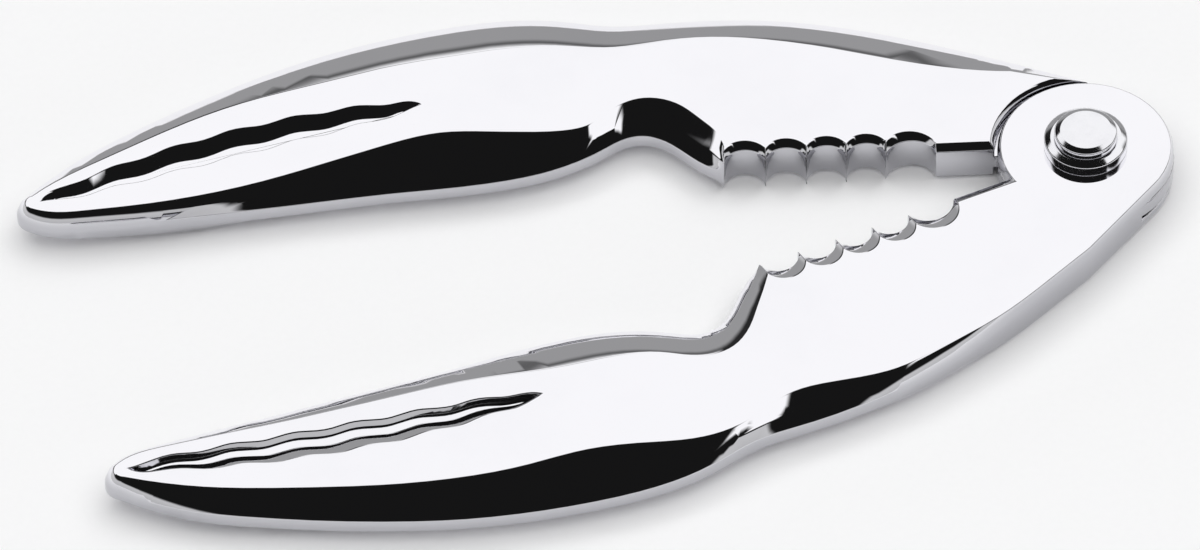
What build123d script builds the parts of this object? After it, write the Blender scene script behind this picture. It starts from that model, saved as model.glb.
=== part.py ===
from build123d import *
import math
import os

os.makedirs("parts", exist_ok=True)

# A two-arm nutcracker that lies on its back faces. The pivot axis is Z through the origin, the plane
# z = 0 is the back, and the handles point along -X, spread evenly to both sides.
# Each arm is drawn along -X, from the pivot to its tip, with its outer side towards +Y.

# Driving dimensions
arm_thickness = 7.2
rim_depth = 2.5
lip_depth = 0.9
shoulder_share = 0.4
half_opening = 9.95
tip_point = (-166.5, 0.6)
tip_insets = (0.0, 0.5, 1.3)
tip_taper_length = 36.0
tip_taper_height = 3.2

# The pivot
eye_radius = 13.8
eye_insets = (0.0, 0.1, 0.5)
tangent_angle = 61.3
shoulder_radius = 14.3
shoulder_chamfer = 0.6
ear_thickness = 2.1
side_gap = 0.3
shank_radius = 2.6
running_clearance = 0.05
sink_radius = 4.2
sink_depth = 1.3
washer_radius = 6.5
washer_thickness = 2.1
washer_rounding = 0.9
head_radius = 4.9
head_thickness = 1.5
head_rounding = 0.8
tail_dimple_radius = 1.6
tail_dimple_depth = 0.5
tail_dimple_taper = 30

# The outline of an arm. Each row is x, y at the widest level, then how far the flat face stands
# inside that point on the fork arm and on the tongue arm.
outer_side = [
    (-165.3, 3.0, 1.3, 1.6),
    (-161.5, 7.0, 2.2, 2.6),
    (-155.0, 12.2, 3.2, 4.0),
    (-148.0, 16.4, 3.9, 4.5),
    (-140.0, 20.7, 4.7, 4.9),
    (-131.0, 25.0, 5.4, 5.8),
    (-120.5, 29.3, 6.4, 7.3),
    (-109.0, 32.7, 7.6, 7.8),
    (-98.5, 34.8, 8.7, 8.2),
    (-88.5, 35.8, 7.2, 8.1),
    (-79.5, 35.1, 3.9, 7.6),
    (-71.5, 33.4, 2.4, 6.9),
    (-63.5, 33.4, 4.9, 6.0),
    (-55.0, 33.4, 4.0, 5.9),
    (-46.0, 32.6, 2.0, 6.5),
    (-36.5, 30.6, 1.5, 7.0),
    (-27.5, 27.8, 0.6, 7.2),
    (-18.0, 24.2, 0.4, 6.4),
    (-8.5, 20.3, 0.4, 4.0),
]
inner_side = [
    (-60.0, 3.3, 3.7, 5.0),
    (-62.8, 6.2, 4.0, 5.4),
    (-65.6, 8.6, 4.9, 6.0),
    (-68.4, 9.6, 6.4, 5.8),
    (-71.4, 9.0, 6.7, 4.5),
    (-74.8, 7.0, 6.5, 3.8),
    (-79.0, 4.8, 6.8, 5.0),
    (-84.5, 2.9, 7.3, 6.9),
    (-91.5, 1.6, 7.5, 8.7),
    (-99.0, 0.9, 6.6, 9.7),
    (-108.5, 0.4, 4.9, 8.0),
    (-118.0, -0.4, 4.4, 5.7),
    (-128.0, -1.3, 4.1, 3.5),
    (-138.0, -2.1, 3.6, 2.1),
    (-147.0, -2.8, 2.9, 1.6),
    (-155.5, -3.2, 2.1, 1.4),
    (-161.5, -3.1, 1.6, 1.4),
    (-165.0, -1.8, 1.3, 1.3),
]

# The jaw: pointed teeth with round gullets between them, and a smooth stretch up to the eye. The lip
# is how far the flat face stands back from them: at a tooth's tip, in a gullet and at the crotch.
tooth_tips = [-56.3, -49.8, -43.4, -37.2, -31.0, -23.2]
tip_height = 1.1
gullet_height = 3.9
crotch_height = 0.9
fork_lip = (3.0, 2.5, 1.5)
tongue_lip = (2.1, 1.1, 1.0)

# The wavy groove in each face of each handle: it starts at the tip and rises towards the waist. Its
# outer wall is a wide slope and its inner wall a steep one. Its far end is x, rise above the start.
groove_start = -163.0
groove_first_y = 0.8
fork_groove_end = (-98.5, 12.0)
tongue_groove_end = (-102.5, 16.0)
groove_sag = 1.7
groove_half_width = 2.6
groove_outer_wall = 2.7
groove_inner_wall = 0.5
groove_depth = 1.0
groove_wave = 0.3
groove_wave_length = 9.6
groove_steps = 24

# The two arms, and their levels from the back face to the front face
FORK, TONGUE = -1, 1
RIM, SHOULDER, FACE = 0, 1, 2
levels = [
    (0.0, FACE),
    (lip_depth, SHOULDER),
    (rim_depth, RIM),
    (arm_thickness - rim_depth, RIM),
    (arm_thickness - lip_depth, SHOULDER),
    (arm_thickness, FACE),
]


def arm_plane(side, height):
    """The drawing plane of an arm: the fork arm is drawn as the tongue arm's mirror image."""
    turn = math.radians(-side * half_opening)
    return Plane(
        origin=(0, 0, height),
        x_dir=(math.cos(turn), math.sin(turn), 0),
        z_dir=(0, 0, side),
    )


def inset_of(row, side, level):
    """How far a row's point stands inside the widest outline at a level of one of the arms."""
    face_inset = row[2] if side == FORK else row[3]
    return {RIM: 0.0, SHOULDER: shoulder_share * face_inset, FACE: face_inset}[level]


def inset_side(rows, side, level, before, after):
    """The rows' points at a level, moved to the right of the way that the outline runs."""
    moved = []
    for index, row in enumerate(rows):
        last = rows[index - 1] if index > 0 else before
        following = rows[index + 1] if index < len(rows) - 1 else after
        run_x = following[0] - last[0]
        run_y = following[1] - last[1]
        inset = inset_of(row, side, level) / math.hypot(run_x, run_y)
        moved.append((row[0] + inset * run_y, row[1] - inset * run_x))
    return moved


def on_circle(radius, angle):
    """The point of a circle round the pivot at an angle in degrees."""
    return (radius * math.cos(math.radians(angle)), radius * math.sin(math.radians(angle)))


def arm_outline(side, level):
    """Draws an arm's closed outline at a level: outer side, eye, jaw, then inner side to the tip."""
    radius = eye_radius - eye_insets[level]
    jaw_lip = fork_lip if side == FORK else tongue_lip
    tip_lip, gullet_lip, crotch_lip = jaw_lip if level == FACE else (0.0, 0.0, 0.0)

    tangent_point = on_circle(radius, tangent_angle)
    eye_start = on_circle(eye_radius, tangent_angle)
    outer_points = inset_side(outer_side, side, level, tip_point, eye_start)
    Spline(*outer_points)
    Line(outer_points[-1], tangent_point)

    crotch_y = crotch_height + crotch_lip
    crotch_angle = 180 - math.degrees(math.asin(crotch_y / radius))
    crotch = on_circle(radius, crotch_angle)
    far_side = on_circle(radius, (tangent_angle + crotch_angle - 360) / 2)
    ThreePointArc(tangent_point, far_side, crotch)

    tips = [(x, tip_height + tip_lip) for x in tooth_tips]
    tips[-1] = (tooth_tips[-1], tip_height + crotch_lip)
    Line(crotch, tips[-1])
    gullet_y = gullet_height + gullet_lip
    for right, left in zip(reversed(tips[1:]), reversed(tips[:-1])):
        ThreePointArc(right, ((right[0] + left[0]) / 2, gullet_y), left)

    corner = (tooth_tips[0], tip_height)
    inner_points = inset_side(inner_side, side, level, corner, tip_point)
    Spline(tips[0], *inner_points)
    ThreePointArc(inner_points[-1], (tip_point[0] + tip_insets[level], tip_point[1]), outer_points[0])


def arm_profile_plane(side):
    """The plane that shows an arm from its side: along the arm, and up from the back."""
    turn = math.radians(-side * half_opening)
    return Plane(
        origin=(0, 0, 0),
        x_dir=(math.cos(turn), math.sin(turn), 0),
        z_dir=(math.sin(turn), -math.cos(turn), 0),
    )


def arm_blank(side):
    """A whole arm before its pivot is cut: straight-ruled between the outlines of its six levels."""
    taper_start = tip_point[0] + tip_taper_length
    taper_end = tip_point[0] - tip_taper_length
    with BuildPart() as blank:
        for height, level in levels:
            with BuildSketch(arm_plane(side, height)):
                with BuildLine():
                    arm_outline(side, level)
                make_face()
        loft(ruled=True)
        with BuildSketch(arm_profile_plane(side)):
            with BuildLine():
                Polyline(
                    (taper_start, 0),
                    (taper_end, 0),
                    (taper_end, 2 * tip_taper_height),
                    close=True,
                )
            make_face()
        extrude(amount=2 * tip_taper_length, both=True, mode=Mode.SUBTRACT)
    return blank.part


def groove_edge(side, sign, wall):
    """A long edge of the groove, a wall's width inside its mouth: a leaf's edge with small waves."""
    groove_end, groove_rise = fork_groove_end if side == FORK else tongue_groove_end
    points = []
    for step in range(1, groove_steps):
        share = step / groove_steps
        x = groove_start + share * (groove_end - groove_start)
        swell = math.sin(math.pi * share) ** 0.5
        middle = groove_first_y + groove_rise * share + groove_sag * math.sin(math.pi * share)
        wave = groove_wave * math.sin(2 * math.pi * x / groove_wave_length)
        points.append((x, middle + sign * (groove_half_width - wall) * swell + wave))
    return points


def groove_outline(side, outer_wall, inner_wall):
    """Draws the groove's closed outline, narrowed by its two walls."""
    groove_end, groove_rise = fork_groove_end if side == FORK else tongue_groove_end
    narrowing = (outer_wall + inner_wall) / 2
    start = (groove_start + narrowing, groove_first_y - narrowing / 2)
    end = (groove_end - narrowing, groove_first_y + groove_rise - narrowing / 2)
    Spline(start, *groove_edge(side, 1, outer_wall), end)
    Spline(end, *reversed(groove_edge(side, -1, inner_wall)), start)


def groove_cutter(side, face_height, floor_height):
    """The solid that the groove takes out of one face of an arm."""
    with BuildPart() as cutter:
        with BuildSketch(arm_plane(side, face_height)):
            with BuildLine():
                groove_outline(side, 0.0, 0.0)
            make_face()
        with BuildSketch(arm_plane(side, floor_height)):
            with BuildLine():
                groove_outline(side, groove_outer_wall, groove_inner_wall)
            make_face()
        loft(ruled=True)
    return cutter.part


def grooved_blank(side):
    """An arm with a groove in each face."""
    front_groove = groove_cutter(side, arm_thickness, arm_thickness - groove_depth)
    back_groove = groove_cutter(side, 0.0, groove_depth)
    blank = arm_blank(side)
    with BuildPart() as grooved:
        add(blank)
        add(front_groove, mode=Mode.SUBTRACT)
        add(back_groove, mode=Mode.SUBTRACT)
    return grooved.part


# fork_arm: two ears with a slot between them, bored for the rivet, the back ear countersunk
slot_thickness = arm_thickness - 2 * ear_thickness
fork_blank = grooved_blank(FORK)
with BuildPart() as fork_arm:
    add(fork_blank)
    with BuildSketch(Plane.XY.offset(ear_thickness)):
        Circle(shoulder_radius)
    extrude(amount=slot_thickness, mode=Mode.SUBTRACT)
    with BuildSketch(Plane.XY):
        Circle(shank_radius)
    extrude(amount=arm_thickness, mode=Mode.SUBTRACT)
    with BuildSketch(Plane.XZ):
        with BuildLine():
            Polyline((0, 0), (sink_radius, 0), (shank_radius, sink_depth), (0, sink_depth), close=True)
        make_face()
    revolve(axis=Axis.Z, mode=Mode.SUBTRACT)
fork_arm.part.label = "fork_arm"
export_step(fork_arm.part, "parts/fork_arm.step")

# tongue_arm: an arm that is thinned to a tongue inside its shoulders
tongue_thickness = slot_thickness - 2 * side_gap
side_cut = (arm_thickness - tongue_thickness) / 2
tongue_blank = grooved_blank(TONGUE)
with BuildPart() as tongue_arm:
    add(tongue_blank)
    for height in (0.0, arm_thickness - side_cut):
        with BuildSketch(Plane.XY.offset(height)):
            Circle(shoulder_radius)
        extrude(amount=side_cut, mode=Mode.SUBTRACT)
    shoulder_arcs = tongue_arm.edges().filter_by(GeomType.CIRCLE).filter_by(
        lambda arc: math.isclose(arc.radius, shoulder_radius, abs_tol=0.01)
    )
    arcs_by_height = shoulder_arcs.group_by(Axis.Z)
    chamfer(arcs_by_height[0] + arcs_by_height[-1], shoulder_chamfer)
    with BuildSketch(Plane.XY):
        Circle(shank_radius + running_clearance)
    extrude(amount=arm_thickness, mode=Mode.SUBTRACT)
tongue_arm.part.label = "tongue_arm"
export_step(tongue_arm.part, "parts/tongue_arm.step")

# rivet_washer: the raised ring under the rivet's head
with BuildPart() as rivet_washer:
    with BuildSketch(Plane.XY.offset(arm_thickness)):
        Circle(washer_radius)
        Circle(shank_radius, mode=Mode.SUBTRACT)
    extrude(amount=washer_thickness)
    top_edges = rivet_washer.edges().group_by(Axis.Z)[-1]
    fillet(top_edges.sort_by(SortBy.RADIUS)[-1], washer_rounding)
rivet_washer.part.label = "rivet_washer"
export_step(rivet_washer.part, "parts/rivet_washer.step")

# rivet: a shank with a flat round head in front and a tail spread into the back ear
head_base = arm_thickness + washer_thickness
with BuildPart() as rivet:
    with BuildSketch(Plane.XY):
        Circle(shank_radius)
    extrude(amount=head_base)
    with BuildSketch(Plane.XZ):
        with BuildLine():
            Polyline((0, 0), (sink_radius, 0), (shank_radius, sink_depth), (0, sink_depth), close=True)
        make_face()
    revolve(axis=Axis.Z)
    with BuildSketch(Plane.XY.offset(head_base)):
        Circle(head_radius)
    extrude(amount=head_thickness)
    head_edge = rivet.edges().filter_by(GeomType.CIRCLE).group_by(Axis.Z)[-1]
    fillet(head_edge, head_rounding)
    with BuildSketch(Plane.XY):
        Circle(tail_dimple_radius)
    extrude(amount=tail_dimple_depth, taper=tail_dimple_taper, mode=Mode.SUBTRACT)
rivet.part.label = "rivet"
export_step(rivet.part, "parts/rivet.step")
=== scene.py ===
# %% [markdown]
# # A riveted nutcracker in chromed zinc
#
# Two cast arms with claw-shaped handles meet at one rivet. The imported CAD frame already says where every
# piece lies, in metres, and which body it moves with. This notebook only gives the pieces their finish:
# rounded edges, a turned rivet, mirror chrome, and a small studio for the chrome to reflect.

import math

import bmesh
import bpy
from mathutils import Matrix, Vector


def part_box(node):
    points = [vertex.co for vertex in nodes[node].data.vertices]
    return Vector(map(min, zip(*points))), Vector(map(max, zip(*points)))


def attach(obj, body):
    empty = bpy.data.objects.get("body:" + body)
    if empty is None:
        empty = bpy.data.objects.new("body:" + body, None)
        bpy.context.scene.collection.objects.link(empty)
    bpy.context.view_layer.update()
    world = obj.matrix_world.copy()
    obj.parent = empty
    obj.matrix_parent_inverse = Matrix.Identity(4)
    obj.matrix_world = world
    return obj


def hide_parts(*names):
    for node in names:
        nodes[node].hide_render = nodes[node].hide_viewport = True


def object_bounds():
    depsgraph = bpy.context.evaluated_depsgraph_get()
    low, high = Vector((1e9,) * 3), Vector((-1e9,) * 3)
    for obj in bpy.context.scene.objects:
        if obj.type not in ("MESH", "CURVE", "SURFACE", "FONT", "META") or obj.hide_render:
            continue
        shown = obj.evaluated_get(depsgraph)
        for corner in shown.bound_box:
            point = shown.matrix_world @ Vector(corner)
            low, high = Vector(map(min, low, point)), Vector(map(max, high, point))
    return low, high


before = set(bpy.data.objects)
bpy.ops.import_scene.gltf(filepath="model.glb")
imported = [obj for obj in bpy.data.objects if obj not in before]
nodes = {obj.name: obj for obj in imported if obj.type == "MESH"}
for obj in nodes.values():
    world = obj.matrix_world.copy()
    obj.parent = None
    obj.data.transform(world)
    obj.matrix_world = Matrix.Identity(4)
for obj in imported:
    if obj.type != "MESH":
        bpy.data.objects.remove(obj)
cad_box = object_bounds()
low, high = (Vector(corner) for corner in cad_box)
face_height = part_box("fork_arm")[1].z
MM = 0.001
print("the CAD box is", [round(side / MM, 1) for side in high - low], "mm")

# %% [markdown]
# ## A small language for nodes
#
# Materials, the world and Geometry Nodes are all node trees. Writing them with raw links hides the idea
# behind plumbing, so two helpers do the plumbing. `add_node` makes any node: its settings go first,
# because they decide which sockets exist, then its inputs, given as numbers or as links. It answers with a
# `Signal`, which wraps one output socket and understands + - * /, so a mask can be written as `1 - dull`.

# %% signals
class Signal:
    """One output socket of a node tree, ready for ordinary arithmetic."""

    def __init__(self, tree, node, socket):
        self.tree = tree
        self.node = node
        self.socket = socket

    def out(self, name):
        """Another output of the same node."""
        return Signal(self.tree, self.node, self.node.outputs[name])

    def math(self, operation, first, second):
        return add_node(self.tree, "ShaderNodeMath", {"operation": operation}, {0: first, 1: second})

    def __add__(self, other):
        return self.math("ADD", self, other)

    __radd__ = __add__

    def __sub__(self, other):
        return self.math("SUBTRACT", self, other)

    def __rsub__(self, other):
        return self.math("SUBTRACT", other, self)

    def __mul__(self, other):
        return self.math("MULTIPLY", self, other)

    __rmul__ = __mul__

    def __truediv__(self, other):
        return self.math("DIVIDE", self, other)

    def between(self, start, end):
        """0 below the start, 1 above the end, and a smooth step from one to the other."""
        settings = {"interpolation_type": "SMOOTHSTEP"}
        return add_node(self.tree, "ShaderNodeMapRange", settings, {"Value": self, 1: start, 2: end})


def add_node(tree, kind, settings=None, inputs=None, output=0):
    """Adds a node: its settings, then its sockets, and returns one of its outputs as a Signal."""
    node = tree.nodes.new(kind)
    for name, value in (settings or {}).items():
        setattr(node, name, value)
    for name, value in (inputs or {}).items():
        if isinstance(value, Signal):
            tree.links.new(value.socket, node.inputs[name])
        else:
            node.inputs[name].default_value = value
    return Signal(tree, node, node.outputs[output])


# %% [markdown]
# ## Chrome
#
# Chrome plating is a metal mirror, so nearly everything that is seen on it is the room. What makes it
# look real is how little it is perfect: the buffing wheel leaves long shallow waves that bend the
# reflections, a haze that changes from place to place, and hairlines too fine to count. The steep walls
# of a casting are only tumbled, so they are wavier than the buffed faces. They are also given a darker
# tint, which is painted shade. All of it is read from Object coordinates, which stay on the metal when
# an arm swings.

# %% the arms' plating
chrome_tint = (0.925, 0.92, 0.955, 1)
haze_tint = (0.83, 0.83, 0.87, 1)
# painted shade: the darker tint that the steep walls get, which dims what they reflect
wall_shade_tint = (0.5, 0.5, 0.53, 1)
haze_lumps = 38.0
buffing_lumps = 55.0
casting_lumps = 260.0
hairline_stretch = (60.0, 1500.0, 1500.0)
steep_to_level = (0.15, 0.75)
plating_relief = 0.012 * MM


def metal_material(name):
    """An empty metal material: its tree, its shader node, and Object coordinates."""
    material = bpy.data.materials.new(name)
    material.use_nodes = True
    tree = material.node_tree
    shader = tree.nodes["Principled BSDF"]
    shader.inputs["Metallic"].default_value = 1.0
    places = add_node(tree, "ShaderNodeTexCoord", output="Object")
    return material, tree, shader, places


def noise(places, scale, detail=2.0, rough=0.5):
    """Soft noise from 0 to 1, with `scale` lumps to the metre."""
    inputs = {"Vector": places, "Scale": scale, "Detail": detail, "Roughness": rough}
    return add_node(places.tree, "ShaderNodeTexNoise", None, inputs)


def stretched(places, factors):
    """The same places with each axis scaled, to draw a pattern out into lines."""
    return add_node(places.tree, "ShaderNodeMapping", None, {"Vector": places, "Scale": factors})


def blended(tree, share, first, second):
    """A mix of two colours: the first where the share is 0, the second where it is 1."""
    return add_node(tree, "ShaderNodeMix", {"data_type": "RGBA"}, {0: share, 6: first, 7: second}, 2)


def arm_chrome():
    """Mirror plating on a buffed casting. Its steep walls are rougher, and a darker tint paints shade on
    them.
    """
    material, tree, shader, places = metal_material("chromed_casting")
    normal = add_node(tree, "ShaderNodeNewGeometry", output="Normal")
    upright = add_node(tree, "ShaderNodeSeparateXYZ", None, {0: normal}, "Z")
    facing = add_node(tree, "ShaderNodeMath", {"operation": "ABSOLUTE"}, {0: upright})
    wall = 1 - facing.between(*steep_to_level)

    haze = noise(places, haze_lumps, 4.0, 0.6).between(0.42, 0.8)
    hairlines = noise(stretched(places, hairline_stretch), 1.0, 3.0).between(0.6, 0.85)
    hazy = blended(tree, 0.3 * haze, chrome_tint, haze_tint)
    # painted shade: the steep walls are blended towards the darker wall tint
    colour = blended(tree, 0.9 * wall, hazy, wall_shade_tint)
    roughness = 0.025 + 0.035 * haze + 0.03 * hairlines + 0.05 * wall

    buffing = noise(places, buffing_lumps, 1.0)
    casting = noise(places, casting_lumps, 3.0)
    height = buffing + 0.35 * wall * casting + 0.0015 * hairlines
    bump = {"Strength": 1.0, "Distance": plating_relief, "Height": height}
    relief = add_node(tree, "ShaderNodeBump", None, bump)
    for socket, signal in (("Base Color", colour), ("Roughness", roughness), ("Normal", relief)):
        tree.links.new(signal.socket, shader.inputs[socket])
    return material


casting_finish = arm_chrome()
print("made", casting_finish.name, "with", len(casting_finish.node_tree.nodes), "nodes")

# %% [markdown]
# The rivet and its washer are turned on a lathe before they are plated. The tool leaves rings about the
# axis, and the pivot's axis is this scene's Z axis, so a ring-shaped wave about Z draws them in place.

# %% the rivet's plating
rivet_tint = (0.9, 0.9, 0.93, 1)
worn_tint = (0.76, 0.76, 0.8, 1)
ring_pitch = 0.22 * MM
rivet_relief = 0.02 * MM


def rivet_chrome():
    """Mirror plating over the fine rings that a lathe leaves."""
    material, tree, shader, places = metal_material("plated_rivet")
    haze = noise(places, 300.0, 4.0, 0.6).between(0.4, 0.8)
    rings_settings = {"wave_type": "RINGS", "rings_direction": "Z", "wave_profile": "SIN"}
    # A wave's own scale of 1 is 20 radians to the unit.
    ring_scale = 2 * math.pi / (20 * ring_pitch)
    rings_inputs = {"Vector": places, "Scale": ring_scale, "Distortion": 1.5, "Detail": 2.0}
    rings = add_node(tree, "ShaderNodeTexWave", rings_settings, rings_inputs, 1)
    colour = blended(tree, 0.3 * haze + 0.1 * rings, rivet_tint, worn_tint)
    roughness = 0.06 + 0.06 * haze + 0.04 * rings
    height = noise(places, 220.0, 1.0) + 0.02 * rings
    bump = {"Strength": 1.0, "Distance": rivet_relief, "Height": height}
    relief = add_node(tree, "ShaderNodeBump", None, bump)
    for socket, signal in (("Base Color", colour), ("Roughness", roughness), ("Normal", relief)):
        tree.links.new(signal.socket, shader.inputs[socket])
    return material


rivet_finish = rivet_chrome()
print("made", rivet_finish.name, "with", len(rivet_finish.node_tree.nodes), "nodes")

# %% [markdown]
# ## The arms
#
# A mirror shows every flaw of the mesh under it. The CAD arms have the right shape, but their edges are
# perfectly sharp, and no casting's are: buffing rounds them over, and that thin round edge is what draws
# a bright or dark line along every real one. So each arm is a copy of its CAD mesh with its loose
# triangles merged, its flat faces joined up, and every sharp edge rounded. The level faces are cut off
# from the smooth shading round them, so they stay as flat as a mirror, and only the edges turn.

# %% rounding the castings
merge_distance = 0.001 * MM
edge_radius = 0.14 * MM
edge_steps = 3
sharp_turn = math.radians(28)
face_turn = math.radians(5)
crisp_turn = math.radians(50)
flat_turn = math.radians(0.3)
level_normal = 0.9999


def beside_level(edge):
    """Whether an edge bounds one of a casting's level faces."""
    return any(abs(face.normal.z) > level_normal for face in edge.link_faces)


def is_crease(edge):
    """Whether an edge gets rounded: round a level face even at a slight turn, elsewhere if it is sharp."""
    least_turn = face_turn if beside_level(edge) else sharp_turn
    return edge.is_manifold and edge.calc_face_angle() > least_turn


def rounded_casting(node_name, piece_name, body):
    """A piece that replaces a CAD arm with a merged copy of it whose sharp edges are rounded."""
    work = bmesh.new()
    work.from_mesh(nodes[node_name].data)
    bmesh.ops.remove_doubles(work, verts=work.verts, dist=merge_distance)
    bmesh.ops.dissolve_limit(work, angle_limit=flat_turn, verts=work.verts, edges=work.edges)
    creases = [edge for edge in work.edges if is_crease(edge)]
    bmesh.ops.bevel(
        work,
        geom=creases,
        offset=edge_radius,
        offset_type="OFFSET",
        segments=edge_steps,
        profile=0.5,
        affect="EDGES",
        clamp_overlap=False,
    )
    lowest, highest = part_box(node_name)
    for vertex in work.verts:
        vertex.co.z = min(max(vertex.co.z, lowest.z), highest.z)
    bmesh.ops.remove_doubles(work, verts=work.verts, dist=merge_distance)
    bmesh.ops.recalc_face_normals(work, faces=work.faces)
    for edge in work.edges:
        gentle = edge.is_manifold and edge.calc_face_angle() < crisp_turn
        edge.smooth = gentle and not beside_level(edge)
    for face in work.faces:
        face.smooth = True
    open_edges = sum(not edge.is_manifold for edge in work.edges)
    mesh = bpy.data.meshes.new(piece_name)
    work.to_mesh(mesh)
    work.free()
    mesh.materials.append(casting_finish)
    piece = bpy.data.objects.new(piece_name, mesh)
    bpy.context.scene.collection.objects.link(piece)
    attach(piece, body)
    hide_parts(node_name)
    print(piece_name, "has", len(creases), "rounded edges and", len(mesh.polygons), "faces,")
    print(open_edges, "of its edges are open")


rounded_casting("fork_arm", "fork_casting", "fork")
rounded_casting("tongue_arm", "tongue_casting", "tongue")

# %% [markdown]
# ## The rivet and its washer
#
# Both are turned parts, so each is one profile carried round the axis. A Geometry Nodes lathe does it:
# the profile's corners are rounded by Fillet Curve, with a radius of their own that each point carries,
# then a grid with one column for each point of the profile is wrapped round Z. Wrapping a grid keeps each
# corner exactly where it is, which sweeping a resampled curve would not.

# %% the lathe
def finished(source, piece_name, material):
    """A plain mesh object made from an object with live modifiers, which is then removed."""
    graph = bpy.context.evaluated_depsgraph_get()
    mesh = bpy.data.meshes.new_from_object(source.evaluated_get(graph), depsgraph=graph)
    bpy.data.objects.remove(source)
    mesh.name = piece_name
    mesh.materials.clear()
    mesh.materials.append(material)
    piece = bpy.data.objects.new(piece_name, mesh)
    bpy.context.scene.collection.objects.link(piece)
    return piece


turn_steps = 96
fillet_steps = 5


def lathe_tree(material):
    """A node group that turns a profile in the XZ plane, one edge to the next, into a closed solid."""
    tree = bpy.data.node_groups.new("lathe", "GeometryNodeTree")
    for name, kind, direction in (
        ("Profile", "NodeSocketGeometry", "INPUT"),
        ("Turn Steps", "NodeSocketInt", "INPUT"),
        ("Fillet Steps", "NodeSocketInt", "INPUT"),
        ("Turned", "NodeSocketGeometry", "OUTPUT"),
    ):
        tree.interface.new_socket(name, in_out=direction, socket_type=kind)
    given = add_node(tree, "NodeGroupInput", output="Profile")
    steps = given.out("Turn Steps")

    rounding_settings = {"data_type": "FLOAT"}
    rounding = add_node(tree, "GeometryNodeInputNamedAttribute", rounding_settings, {"Name": "rounding"})
    curve = add_node(tree, "GeometryNodeMeshToCurve", None, {0: given})
    fillet = {"Curve": curve, "Radius": rounding, "Count": given.out("Fillet Steps"), "Limit Radius": True}
    rounded = add_node(tree, "GeometryNodeFilletCurve", {"mode": "POLY"}, fillet)
    profile = add_node(tree, "GeometryNodeCurveToMesh", None, {"Curve": rounded})
    size_settings = {"component": "MESH"}
    count = add_node(tree, "GeometryNodeAttributeDomainSize", size_settings, {0: profile}, "Point Count")

    rows = {"Vertices X": count, "Vertices Y": steps + 1}
    grid = add_node(tree, "GeometryNodeMeshGrid", None, rows, "Mesh")
    index = add_node(tree, "GeometryNodeInputIndex")
    column = add_node(tree, "ShaderNodeMath", {"operation": "FLOOR"}, {0: index / (steps + 1) + 0.0001})
    angle = (index - column * (steps + 1)) * (2 * math.pi) / steps
    place = add_node(tree, "GeometryNodeInputPosition")
    sampling = {"Geometry": profile, "Value": place, "Index": column}
    corner = add_node(tree, "GeometryNodeSampleIndex", {"data_type": "FLOAT_VECTOR"}, sampling)
    turn = {"Vector": corner, "Angle": angle}
    turned = add_node(tree, "ShaderNodeVectorRotate", {"rotation_type": "Z_AXIS"}, turn)
    wrapped = add_node(tree, "GeometryNodeSetPosition", None, {"Geometry": grid, "Position": turned})
    seam = {"Geometry": wrapped, "Distance": merge_distance}
    closed = add_node(tree, "GeometryNodeMergeByDistance", None, seam)
    smooth = add_node(tree, "GeometryNodeSetShadeSmooth", None, {"Geometry": closed})
    real = add_node(tree, "GeometryNodeRealizeInstances", None, {"Geometry": smooth})
    coated = add_node(tree, "GeometryNodeSetMaterial", None, {"Geometry": real, "Material": material})
    add_node_output(tree, coated)
    return tree


def add_node_output(tree, signal):
    """Ends a group: links a signal to its output."""
    end = tree.nodes.new("NodeGroupOutput")
    tree.links.new(signal.socket, end.inputs[0])


lathe = lathe_tree(rivet_finish)
socket_of = {item.name: item.identifier for item in lathe.interface.items_tree}
print("the lathe has", len(lathe.nodes), "nodes")

# %% turning a piece
def turned_piece(piece_name, node_name, profile):
    """Turns a profile of rows (radius, height, corner radius), in millimetres, about the pivot's axis."""
    mesh = bpy.data.meshes.new(piece_name + "_profile")
    edges = [(row, row + 1) for row in range(len(profile) - 1)]
    mesh.from_pydata([(radius * MM, 0, height * MM) for radius, height, corner in profile], edges, [])
    rounding = mesh.attributes.new("rounding", "FLOAT", "POINT")
    rounding.data.foreach_set("value", [corner * MM for radius, height, corner in profile])
    blank = bpy.data.objects.new(piece_name + "_blank", mesh)
    bpy.context.scene.collection.objects.link(blank)
    modifier = blank.modifiers.new("lathe", "NODES")
    modifier.node_group = lathe
    modifier[socket_of["Turn Steps"]] = turn_steps
    modifier[socket_of["Fillet Steps"]] = fillet_steps
    piece = finished(blank, piece_name, rivet_finish)
    work = bmesh.new()
    work.from_mesh(piece.data)
    bmesh.ops.recalc_face_normals(work, faces=work.faces)
    open_edges = sum(not edge.is_manifold for edge in work.edges)
    work.to_mesh(piece.data)
    work.free()
    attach(piece, "fork")
    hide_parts(node_name)
    print(piece_name, "has", len(piece.data.polygons), "faces and", open_edges, "open edges")


# %% [markdown]
# The sizes come from the CAD boxes: the washer's and the head's radius and thickness. Each tier is a flat
# disc whose edge was first turned to a gentle slope and then buffed round, so that a dark ring of the
# room's ceiling runs round it.

# %% the two profiles
washer_low, washer_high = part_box("rivet_washer")
rivet_low, rivet_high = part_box("rivet")
washer_radius = (washer_high.x - washer_low.x) / 2 / MM
head_radius = (rivet_high.x - rivet_low.x) / 2 / MM
washer_base = washer_low.z / MM
washer_top = washer_high.z / MM
head_top = rivet_high.z / MM
shank_radius = 2.6
sink_radius = 4.2
sink_depth = 1.3
dimple_radius = 1.6
dimple_floor_radius = 1.3
dimple_depth = 0.5
# How far each tier's sloped edge reaches in and down
washer_slope = (1.0, 0.4)
head_slope = (0.9, 0.3)

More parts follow.
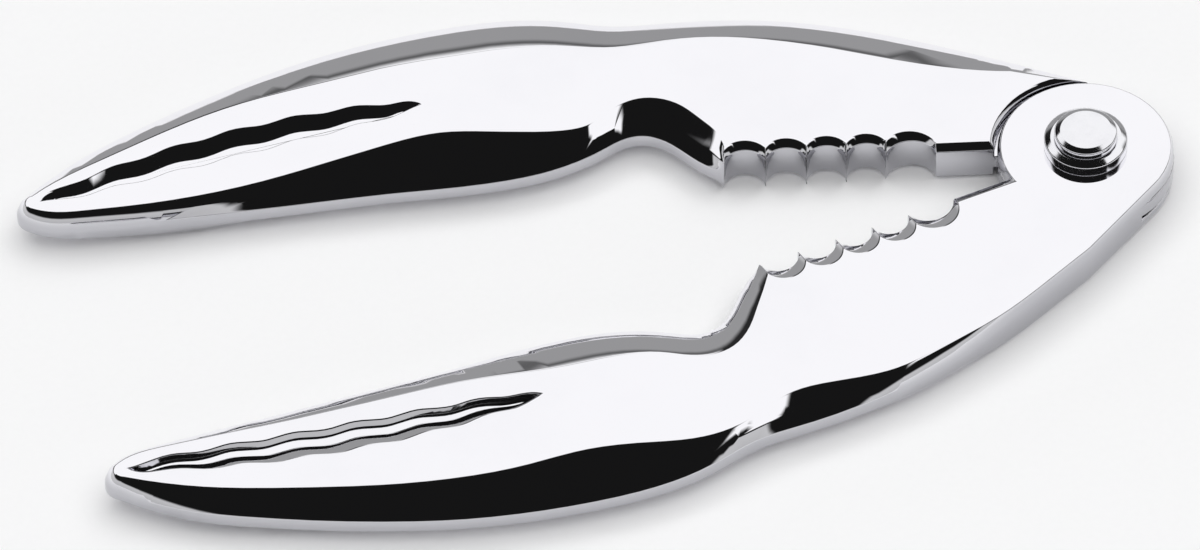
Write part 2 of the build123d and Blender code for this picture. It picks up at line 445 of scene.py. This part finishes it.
turned_piece("turned_washer", "rivet_washer", [
    (shank_radius, washer_base, 0),
    (shank_radius, washer_top, 0),
    (washer_radius - washer_slope[0], washer_top, 0.3),
    (washer_radius, washer_top - washer_slope[1], 0.3),
    (washer_radius, washer_base, 0.1),
    (shank_radius, washer_base, 0),
])
turned_piece("turned_rivet", "rivet", [
    (0, dimple_depth, 0),
    (dimple_floor_radius, dimple_depth, 0.15),
    (dimple_radius, 0, 0.08),
    (sink_radius, 0, 0.05),
    (shank_radius, sink_depth, 0.1),
    (shank_radius, washer_top, 0),
    (head_radius, washer_top, 0.1),
    (head_radius, head_top - head_slope[1], 0.3),
    (head_radius - head_slope[0], head_top, 0.3),
    (0, head_top, 0),
])

# %% [markdown]
# ## The studio
#
# The floor is plain pale paper, lit by a wide soft light that the metal doesn't see. What the metal does
# see is the world, and that is where chrome gets its looks. A white panel stands behind the object, at the
# height that the flat faces mirror. A second one stands to the right, for the bevels that turn that way. The
# ceiling is dark, and the near bevels mirror it. Below it runs a pale band with a darker gap behind the
# object, which gives the far bevels their greys, and the horizon is as white as the paper.

# %% the view's directions
view_turn = math.radians(-14.39)
view_height = math.radians(47.3)
right = Vector((math.cos(view_turn), math.sin(view_turn), 0))
away = Vector((-math.sin(view_turn), math.cos(view_turn), 0))

# %% the floor
floor_size = 80.0
floor_gap = 0.05 * MM
paper_tint = (0.96, 0.96, 0.965, 1)
fibre_tint = (0.93, 0.93, 0.935, 1)
fibre_lumps = 900.0


def paper_material():
    """Matt white paper with faint fibres."""
    material = bpy.data.materials.new("pale_paper")
    material.use_nodes = True
    tree = material.node_tree
    shader = tree.nodes["Principled BSDF"]
    shader.inputs["Roughness"].default_value = 0.9
    shader.inputs["Specular IOR Level"].default_value = 0.1
    places = add_node(tree, "ShaderNodeTexCoord", output="Object")
    fibres = noise(places, fibre_lumps, 4.0, 0.6)
    colour = blended(tree, fibres, fibre_tint, paper_tint)
    tree.links.new(colour.socket, shader.inputs["Base Color"])
    return material


def paper_floor():
    """One big sheet, just below the object."""
    mesh = bpy.data.meshes.new("floor")
    half = floor_size / 2
    height = low.z - floor_gap
    corners = [(-half, -half, height), (half, -half, height), (half, half, height), (-half, half, height)]
    mesh.from_pydata(corners, [], [(0, 1, 2, 3)])
    mesh.materials.append(paper_material())
    floor = bpy.data.objects.new("floor", mesh)
    bpy.context.scene.collection.objects.link(floor)


paper_floor()
print("the floor lies at", round(low.z - floor_gap, 5), "m")

# %% the light above
lamp_spread = math.radians(100)
lamp_energy = 2.3
lamp_data = bpy.data.lights.new("soft_light", "SUN")
lamp_data.angle = lamp_spread
lamp_data.energy = lamp_energy
lamp = bpy.data.objects.new("soft_light", lamp_data)
lamp.visible_glossy = False
bpy.context.scene.collection.objects.link(lamp)

# %% the world that the chrome mirrors
dark_ceiling = 0.008
pale_band = 0.6
panel_white = 1.0
horizon_white = 0.93
gap_dark = 0.015
gap_grey = 0.3
# Each edge below is a pair, where it starts and where it ends. Heights are measured as the sine of the
# angle above the horizon.
band_top = (0.30, 0.42)
back_band_top = (0.60, 0.66)
gap_bottom = (-0.02, 0.05)
gap_grey_top = (0.34, 0.44)
gap_sides = (0.6, 0.85)
back_panel_bottom = (0.64, 0.68)
back_panel_top = (0.82, 0.86)
back_panel_sides = (0.1, 0.3)
side_panel_bottom = (0.4, 0.5)
side_panel_start = (0.345, 0.385)
side_panel_end = (0.56, 0.64)
horizon_top = (0.0, 0.06)
side_panel_axis = 0.866 * right + 0.5 * away


def axis_share(direction, axis):
    """How far a direction points along an axis, from -1 to 1."""
    settings = {"operation": "DOT_PRODUCT"}
    return add_node(direction.tree, "ShaderNodeVectorMath", settings, {0: direction, 1: axis}, "Value")


def studio_world():
    """The room as a grey level for every direction."""
    world = bpy.data.worlds.new("studio")
    world.use_nodes = True
    tree = world.node_tree
    direction = add_node(tree, "ShaderNodeTexCoord", output="Generated")
    rightward = axis_share(direction, right)
    backward = axis_share(direction, away)
    upward = axis_share(direction, Vector((0, 0, 1)))
    sideward = axis_share(direction, side_panel_axis)

    band = 1 - upward.between(*band_top)
    back_band = 1 - upward.between(*back_band_top)
    gap = backward.between(*gap_sides) * upward.between(*gap_bottom) * back_band
    gap_level = gap_dark + gap_grey * (1 - upward.between(*gap_grey_top))
    back_panel_height = upward.between(*back_panel_bottom) * (1 - upward.between(*back_panel_top))
    back_panel = back_panel_height * backward.between(*back_panel_sides)
    side_panel_width = sideward.between(*side_panel_start) * (1 - rightward.between(*side_panel_end))
    side_panel = side_panel_width * upward.between(*side_panel_bottom)
    panels = 1 - (1 - back_panel) * (1 - side_panel)
    lit_band = pale_band * band * (1 - gap) * (1 - panels)
    room = dark_ceiling + gap * gap_level + lit_band + panel_white * panels
    horizon = 1 - upward.between(*horizon_top)
    level = room * (1 - horizon) + horizon_white * horizon
    tree.links.new(level.socket, tree.nodes["Background"].inputs["Color"])
    return world


bpy.context.scene.world = studio_world()
print("the world has", len(bpy.context.scene.world.node_tree.nodes), "nodes")

# %% [markdown]
# ## The camera
#
# A long lens from far away keeps the two arms nearly the same length in the view. The lens follows from
# the scale wanted in the plane of the flat faces.

# %% the camera
view_distance = 4.0
view_shift = Vector((-0.0049, -0.0078, 0))
frame_width = 1200
dots_per_metre = 6460
sensor_width = 36
farthest_seen = 40
target = (low + high) / 2 + view_shift
target.z = face_height
camera_data = bpy.data.cameras.new("camera")
camera_data.sensor_width = sensor_width
camera_data.lens = sensor_width * dots_per_metre * view_distance / frame_width
camera_data.clip_end = farthest_seen
camera = bpy.data.objects.new("camera", camera_data)
bpy.context.scene.collection.objects.link(camera)
towards_camera = Vector((0, 0, math.sin(view_height))) - away * math.cos(view_height)
camera.location = target + towards_camera * view_distance
camera.rotation_euler = (-towards_camera).to_track_quat("-Z", "Y").to_euler()
bpy.context.scene.camera = camera
bpy.context.scene.view_settings.view_transform = "Standard"
print("the lens is", round(camera_data.lens), "mm")
